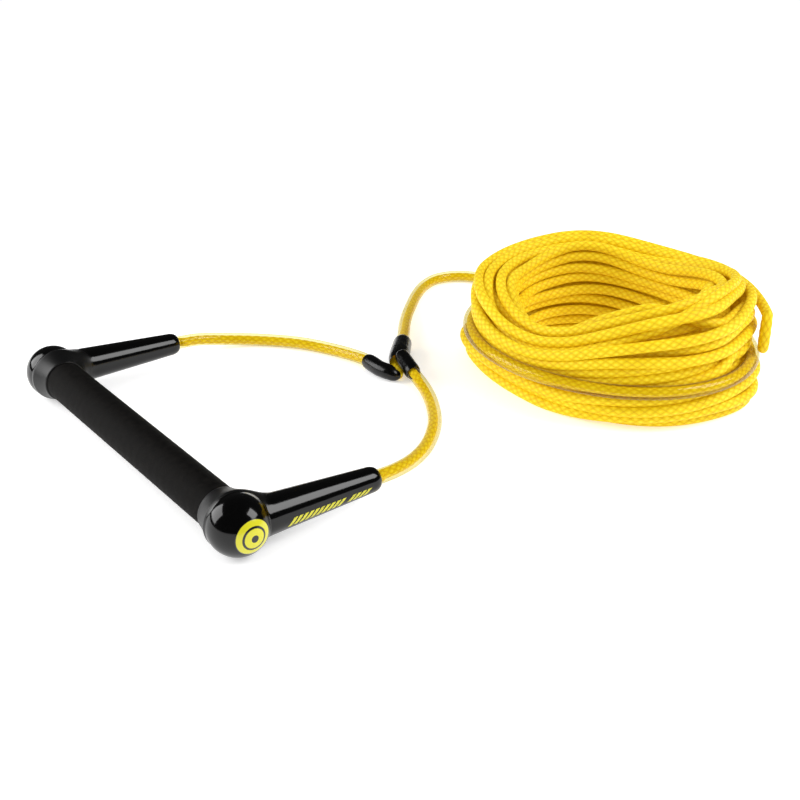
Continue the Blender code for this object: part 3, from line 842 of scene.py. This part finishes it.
def make_eye(centre):
    """The boat-end eye: a small spliced loop that hangs from the rope's end."""
    flank = coil_point(EYE_ANGLE + 0.02, COIL_LONG_R, COIL_SHORT_R, 0.0)
    flank = flank - coil_point(EYE_ANGLE - 0.02, COIL_LONG_R, COIL_SHORT_R, 0.0)
    flank /= np.linalg.norm(flank)
    angle = np.linspace(math.radians(88), math.radians(452), 60)
    narrow = EYE_HALF_WIDTH * np.cos(angle) * (0.75 - 0.25 * np.sin(angle))
    tall = EYE_HALF_HEIGHT * np.sin(angle)
    path = centre + narrow[:, None] * flank + tall[:, None] * np.array([0, 0, 1.0])
    eye = braided_rope("eye_splice", path, ROPE_R - 0.2 * MM)
    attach(eye, "line")
    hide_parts("boat_end_eye")
    return eye


make_coil()


# ---------------------------------------------------------------- the rigid handle

VOXEL = 0.65 * MM
WEB = 11 * MM  # the fillet between the collar and the arm
CREASE = 0.8 * MM  # and where the ball meets them
SMOOTHING_STEPS = 7
BORE_END = 90 * MM  # the arm's bore is cut from here to its tip
BORE_R = TUBE_R + 0.1 * MM
RECESS_R = GRIP_R + 0.1 * MM


def arc(radius, start, end, pieces):
    angle = np.radians(np.linspace(start, end, pieces + 1))
    return np.stack([radius * np.cos(angle), radius * np.sin(angle)], axis=1)


def collar_section():
    """Half the section of the flared collar: (radius, distance along the bar), mouth first."""
    reach = np.linspace(MOUTH_REACH - 0.6 * MM, COLLAR_CREST, 24)
    share = (MOUTH_REACH - reach) / (MOUTH_REACH - COLLAR_CREST)
    flare = MOUTH_R + (COLLAR_R - MOUTH_R) * share**COLLAR_FLARE
    return np.vstack([
        [(0.0, -MOUTH_REACH), (MOUTH_R - 0.35 * MM, -MOUTH_REACH)],
        np.stack([flare, -reach], axis=1),
        [(COLLAR_R - 0.2 * MM, -COLLAR_CREST + 1.5 * MM), (COLLAR_R - 4 * MM, 0.0), (0.0, 0.0)],
    ])


def arm_section():
    """Half the section of the arm: (radius, distance along the arm), tip last."""
    tip = arc(1.0, 0, 90, 10)
    tip = np.stack([ARM_TIP_R - 2.6 * MM * (1 - tip[:, 0]), ARM_REACH - 7 * MM * (1 - tip[:, 1])], axis=1)
    root = [(0.0, 0.0), (ARM_ROOT_R, 0.0), (ARM_ROOT_R, ARM_ROOT_START)]
    return np.vstack([root, tip, [(0.0, ARM_REACH)]])


def turned_distance(radius, along, section):
    """Signed distance from points to a turned body, both given in its half section."""
    nearest = np.full(len(radius), 1e9)
    inside = np.zeros(len(radius), bool)
    for (r0, h0), (r1, h1) in zip(section, np.roll(section, -1, axis=0)):
        if (h0 > along).any() or (h1 > along).any():
            crosses = (h0 > along) != (h1 > along)
            rise = h1 - h0 if abs(h1 - h0) > 1e-12 else 1e-12
            inside ^= crosses & (radius < r0 + (r1 - r0) * (along - h0) / rise)
        if max(r0, r1) < 1e-9:
            continue
        dr, dh = r1 - r0, h1 - h0
        t = np.clip(((radius - r0) * dr + (along - h0) * dh) / (dr * dr + dh * dh), 0, 1)
        nearest = np.minimum(nearest, np.hypot(radius - r0 - t * dr, along - h0 - t * dh))
    return np.where(inside, -nearest, nearest)


COLLAR_SECTION = collar_section()
ARM_SECTION = arm_section()


def joined(one, other, fillet):
    """The distance to two shapes together, with a fillet between them."""
    overlap = np.maximum(fillet - np.abs(one - other), 0.0) / fillet
    return np.minimum(one, other) - overlap * overlap * fillet / 4


def cap_distance(p):
    """Signed distance to the cap's outside: a web joins collar and arm, the ball stands proud of both."""
    collar = turned_distance(np.hypot(p[:, 1], p[:, 2]), p[:, 0], COLLAR_SECTION)
    arm = turned_distance(np.hypot(p[:, 0], p[:, 2]), p[:, 1], ARM_SECTION)
    ball = np.linalg.norm(p, axis=1) - BALL_R
    return joined(joined(collar, arm, WEB), ball, CREASE)


def turned_mesh(name, section, axis, finish, steps=64):
    """A half section turned about X or Y."""
    angle = 2 * math.pi * np.arange(steps) / steps
    r, h = section[:, 0], section[:, 1]
    a = r[:, None] * np.cos(angle)[None]
    b = r[:, None] * np.sin(angle)[None]
    c = np.broadcast_to(h[:, None], a.shape)
    points = np.stack([c, a, b] if axis == "X" else [b, c, a], axis=-1).reshape(-1, 3)
    i, j = np.meshgrid(np.arange(len(section) - 1), np.arange(steps), indexing="ij")
    after = (j + 1) % steps
    faces = np.stack([i * steps + j, i * steps + after, (i + 1) * steps + after, (i + 1) * steps + j], -1)
    return mesh_object(name, points, faces.reshape(-1, 4), finish)


def evaluated_mesh(made):
    bpy.context.view_layer.update()
    return bpy.data.meshes.new_from_object(made.evaluated_get(bpy.context.evaluated_depsgraph_get()))


def coordinates(mesh):
    points = np.empty(3 * len(mesh.vertices), np.float32)
    mesh.vertices.foreach_get("co", points)
    return points.reshape(-1, 3).astype(float)


def cap_shape():
    """The right-hand cap about its ball's centre: bar towards -X, arm towards +Y."""
    ball = arc(BALL_R, -90, 90, 48)
    solids = [
        turned_mesh("ball_solid", ball, "X", CAP),
        turned_mesh("collar_solid", COLLAR_SECTION, "X", CAP),
        turned_mesh("arm_solid", ARM_SECTION, "Y", CAP),
    ]
    both = np.vstack([coordinates(s.data) for s in solids])
    faces = []
    first = 0
    for solid in solids:
        faces += [[first + v for v in p.vertices] for p in solid.data.polygons]
        first += len(solid.data.vertices)
    rough = mesh_object("cap_rough", both, np.array(faces), CAP)
    remesh = rough.modifiers.new("voxels", "REMESH")
    remesh.mode = "VOXEL"
    remesh.voxel_size = VOXEL
    mesh = evaluated_mesh(rough)
    points = coordinates(mesh)
    tiny = 0.01 * MM
    for _ in range(SMOOTHING_STEPS):
        value = cap_distance(points)
        ahead = [cap_distance(points + tiny * axis) for axis in np.eye(3)]
        slope = np.stack([(v - value) / tiny for v in ahead], axis=1)
        size = np.maximum((slope * slope).sum(axis=1), 0.25)
        points -= np.clip(value / size, -VOXEL, VOXEL)[:, None] * slope
    mesh.vertices.foreach_set("co", points.astype(np.float32).ravel())
    mesh.polygons.foreach_set("use_smooth", np.ones(len(mesh.polygons), bool))
    satin = mesh.attributes.new("satin", "FLOAT", "POINT")
    off_ball = np.clip((np.linalg.norm(points, axis=1) - BALL_R - 0.15 * MM) / (0.4 * MM), 0, 1)
    arm = turned_distance(np.hypot(points[:, 0], points[:, 2]), points[:, 1], ARM_SECTION)
    off_arm = np.clip((arm - 0.05 * MM) / (0.5 * MM), 0, 1)
    satin.data.foreach_set("value", (off_ball * off_arm).astype(np.float32))
    for waste in (*solids, rough):
        bpy.data.objects.remove(waste, do_unlink=True)
    shape = bpy.data.objects.new("cap_shape", mesh)
    bpy.context.scene.collection.objects.link(shape)
    floor, over = -MOUTH_REACH + MOUTH_RECESS, -MOUTH_REACH - 2 * MM
    recess = [(0.0, floor), (RECESS_R, floor), (RECESS_R, over), (0.0, over)]
    past = ARM_REACH + MM
    bore = [(0.0, past), (BORE_R, past), (BORE_R, BORE_END), (0.0, BORE_END)]
    cutters = [
        turned_mesh("recess", np.array(recess[::-1]), "X", CAP),
        turned_mesh("bore", np.array(bore[::-1]), "Y", CAP),
    ]
    for cutter in cutters:
        cut = shape.modifiers.new(cutter.name, "BOOLEAN")
        cut.solver = "EXACT"
        cut.operation = "DIFFERENCE"
        cut.object = cutter
    final = evaluated_mesh(shape)
    final.set_sharp_from_angle(angle=math.radians(40))
    for waste in (*cutters, shape):
        bpy.data.objects.remove(waste, do_unlink=True)
    return final


def placed(points, side):
    """Cap coordinates put on one end of the bar: turned down with the arm, and mirrored on the left."""
    c, s = math.cos(ARM_DROOP), math.sin(ARM_DROOP)
    x, y, z = points.T
    return np.stack([side * (HALF_SPAN + x), BAR_Y + y * c + z * s, BAR_Z - y * s + z * c], axis=1)


def put(mesh, side):
    """Moves a mesh of cap coordinates into place. A mirrored one is turned inside out again."""
    mesh.vertices.foreach_set("co", placed(coordinates(mesh), side).astype(np.float32).ravel())
    if side < 0:
        mesh.flip_normals()
    mesh.update()


def make_caps():
    shape = cap_shape()
    for side, word in ((1, "right"), (-1, "left")):
        mesh = shape.copy()
        put(mesh, side)
        cap = bpy.data.objects.new("cap_" + word, mesh)
        bpy.context.scene.collection.objects.link(cap)
        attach(cap, "handle")
        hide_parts("end_cap_" + word)


def badge_material():
    """A plain yellow disc with black rings."""
    made, tree, shader = new_material("badge_face", Roughness=0.25, Coat_Weight=0.3)
    radius = node(tree, "ShaderNodeAttribute", attribute_name="from_axis").outputs["Fac"]
    wear = noise(tree, place(tree), 1200.0, 3.0)
    uneven = calc(tree, "ADD", radius, calc(tree, "MULTIPLY", calc(tree, "SUBTRACT", wear, 0.5), 0.02))
    yellow, black = (0.66, 0.62, 0.012), (0.004, 0.004, 0.004)
    stops = [(0.0, black), (0.20, black), (0.215, yellow), (0.55, yellow), (0.565, black), (0.67, black),
             (0.685, yellow), (0.955, yellow), (0.97, black)]
    feed(tree, shader.inputs["Base Color"], ramp(tree, uneven, stops))
    return made


def make_badges():
    finish = badge_material()
    rim = math.degrees(math.acos(BADGE_R / BALL_R))
    face = arc(BALL_R + 0.03 * MM, rim, 90, 24)
    section = np.vstack([[(BADGE_R, math.sqrt(BALL_R**2 - BADGE_R**2) - 0.3 * MM)], face])
    for side, word in ((1, "right"), (-1, "left")):
        badge = turned_mesh("badge_" + word, section, "X", finish)
        points = coordinates(badge.data)
        attribute = badge.data.attributes.new("from_axis", "FLOAT", "POINT")
        from_axis = np.hypot(points[:, 1], points[:, 2]) / BADGE_R
        attribute.data.foreach_set("value", from_axis.astype(np.float32))
        put(badge.data, side)
        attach(badge, "handle")
        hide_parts("end_badge_" + word)


PRINT_START = 30 * MM
PRINT_END = 92 * MM
PRINT_HALF_HEIGHT = 2.7 * MM
PRINT_BARS = 15
PRINT_GAP = 10  # the bar that is left out
PRINT_SLANT = 2.2 * MM
PRINT_DROP = math.radians(13)  # below the arm's widest line


def make_prints():
    """A row of slanted bars on each arm's outer side."""
    pitch = (PRINT_END - PRINT_START) / PRINT_BARS
    for side, word in ((1, "right"), (-1, "left")):
        points = []
        faces = []
        for bar in range(PRINT_BARS):
            if bar == PRINT_GAP:
                continue
            low = PRINT_START + bar * pitch
            share = bar / (PRINT_BARS - 1)
            half = PRINT_HALF_HEIGHT * (1.1 - 0.35 * share)
            first = len(points)
            rows, columns = 9, 4
            for row in range(rows):
                height = half * (2 * row / (rows - 1) - 1)
                for column in range(columns):
                    along = low + pitch * 0.66 * column / (columns - 1) + PRINT_SLANT * height / half
                    radius = np.interp(along, ARM_SECTION[1:-1, 1], ARM_SECTION[1:-1, 0]) + 0.06 * MM
                    angle = height / radius - PRINT_DROP
                    points.append((radius * math.cos(angle), along, radius * math.sin(angle)))
            for row in range(rows - 1):
                for column in range(columns - 1):
                    corner = first + row * columns + column
                    faces.append((corner, corner + 1, corner + columns + 1, corner + columns))
        marks = mesh_object("arm_print_" + word, points, faces, PRINT)
        put(marks.data, side)
        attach(marks, "handle")


def make_grip():
    half = HALF_SPAN - MOUTH_REACH + MOUTH_RECESS
    along = np.linspace(-half, half, 220)
    edge = np.clip((half - np.abs(along)) / MM, 0.0, 1.0)
    radius = GRIP_R - 0.5 * MM * (1 - np.sqrt(edge)) + 0.03 * MM * np.sin(along * 700)
    path = np.stack([along, np.full_like(along, BAR_Y), np.full_like(along, BAR_Z)], axis=1)
    grip = round_mesh("grip_rubber", path, radius, 96, GRIP)
    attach(grip, "handle")
    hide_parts("grip_sleeve")


make_caps()
make_badges()
make_prints()
make_grip()

# CAD nodes that stay, most of them out of sight, take the same finishes.
CARRIED = {
    METAL: ["core_tube"],
    TUBING: ["tube_end_left", "tube_end_right", "line_tube_end"],
    ROPE: ["bar_rope", "line_rope_end"],
}
for finish, names in CARRIED.items():
    for name in names:
        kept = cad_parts[name]
        for slot in kept.material_slots:
            slot.material = finish
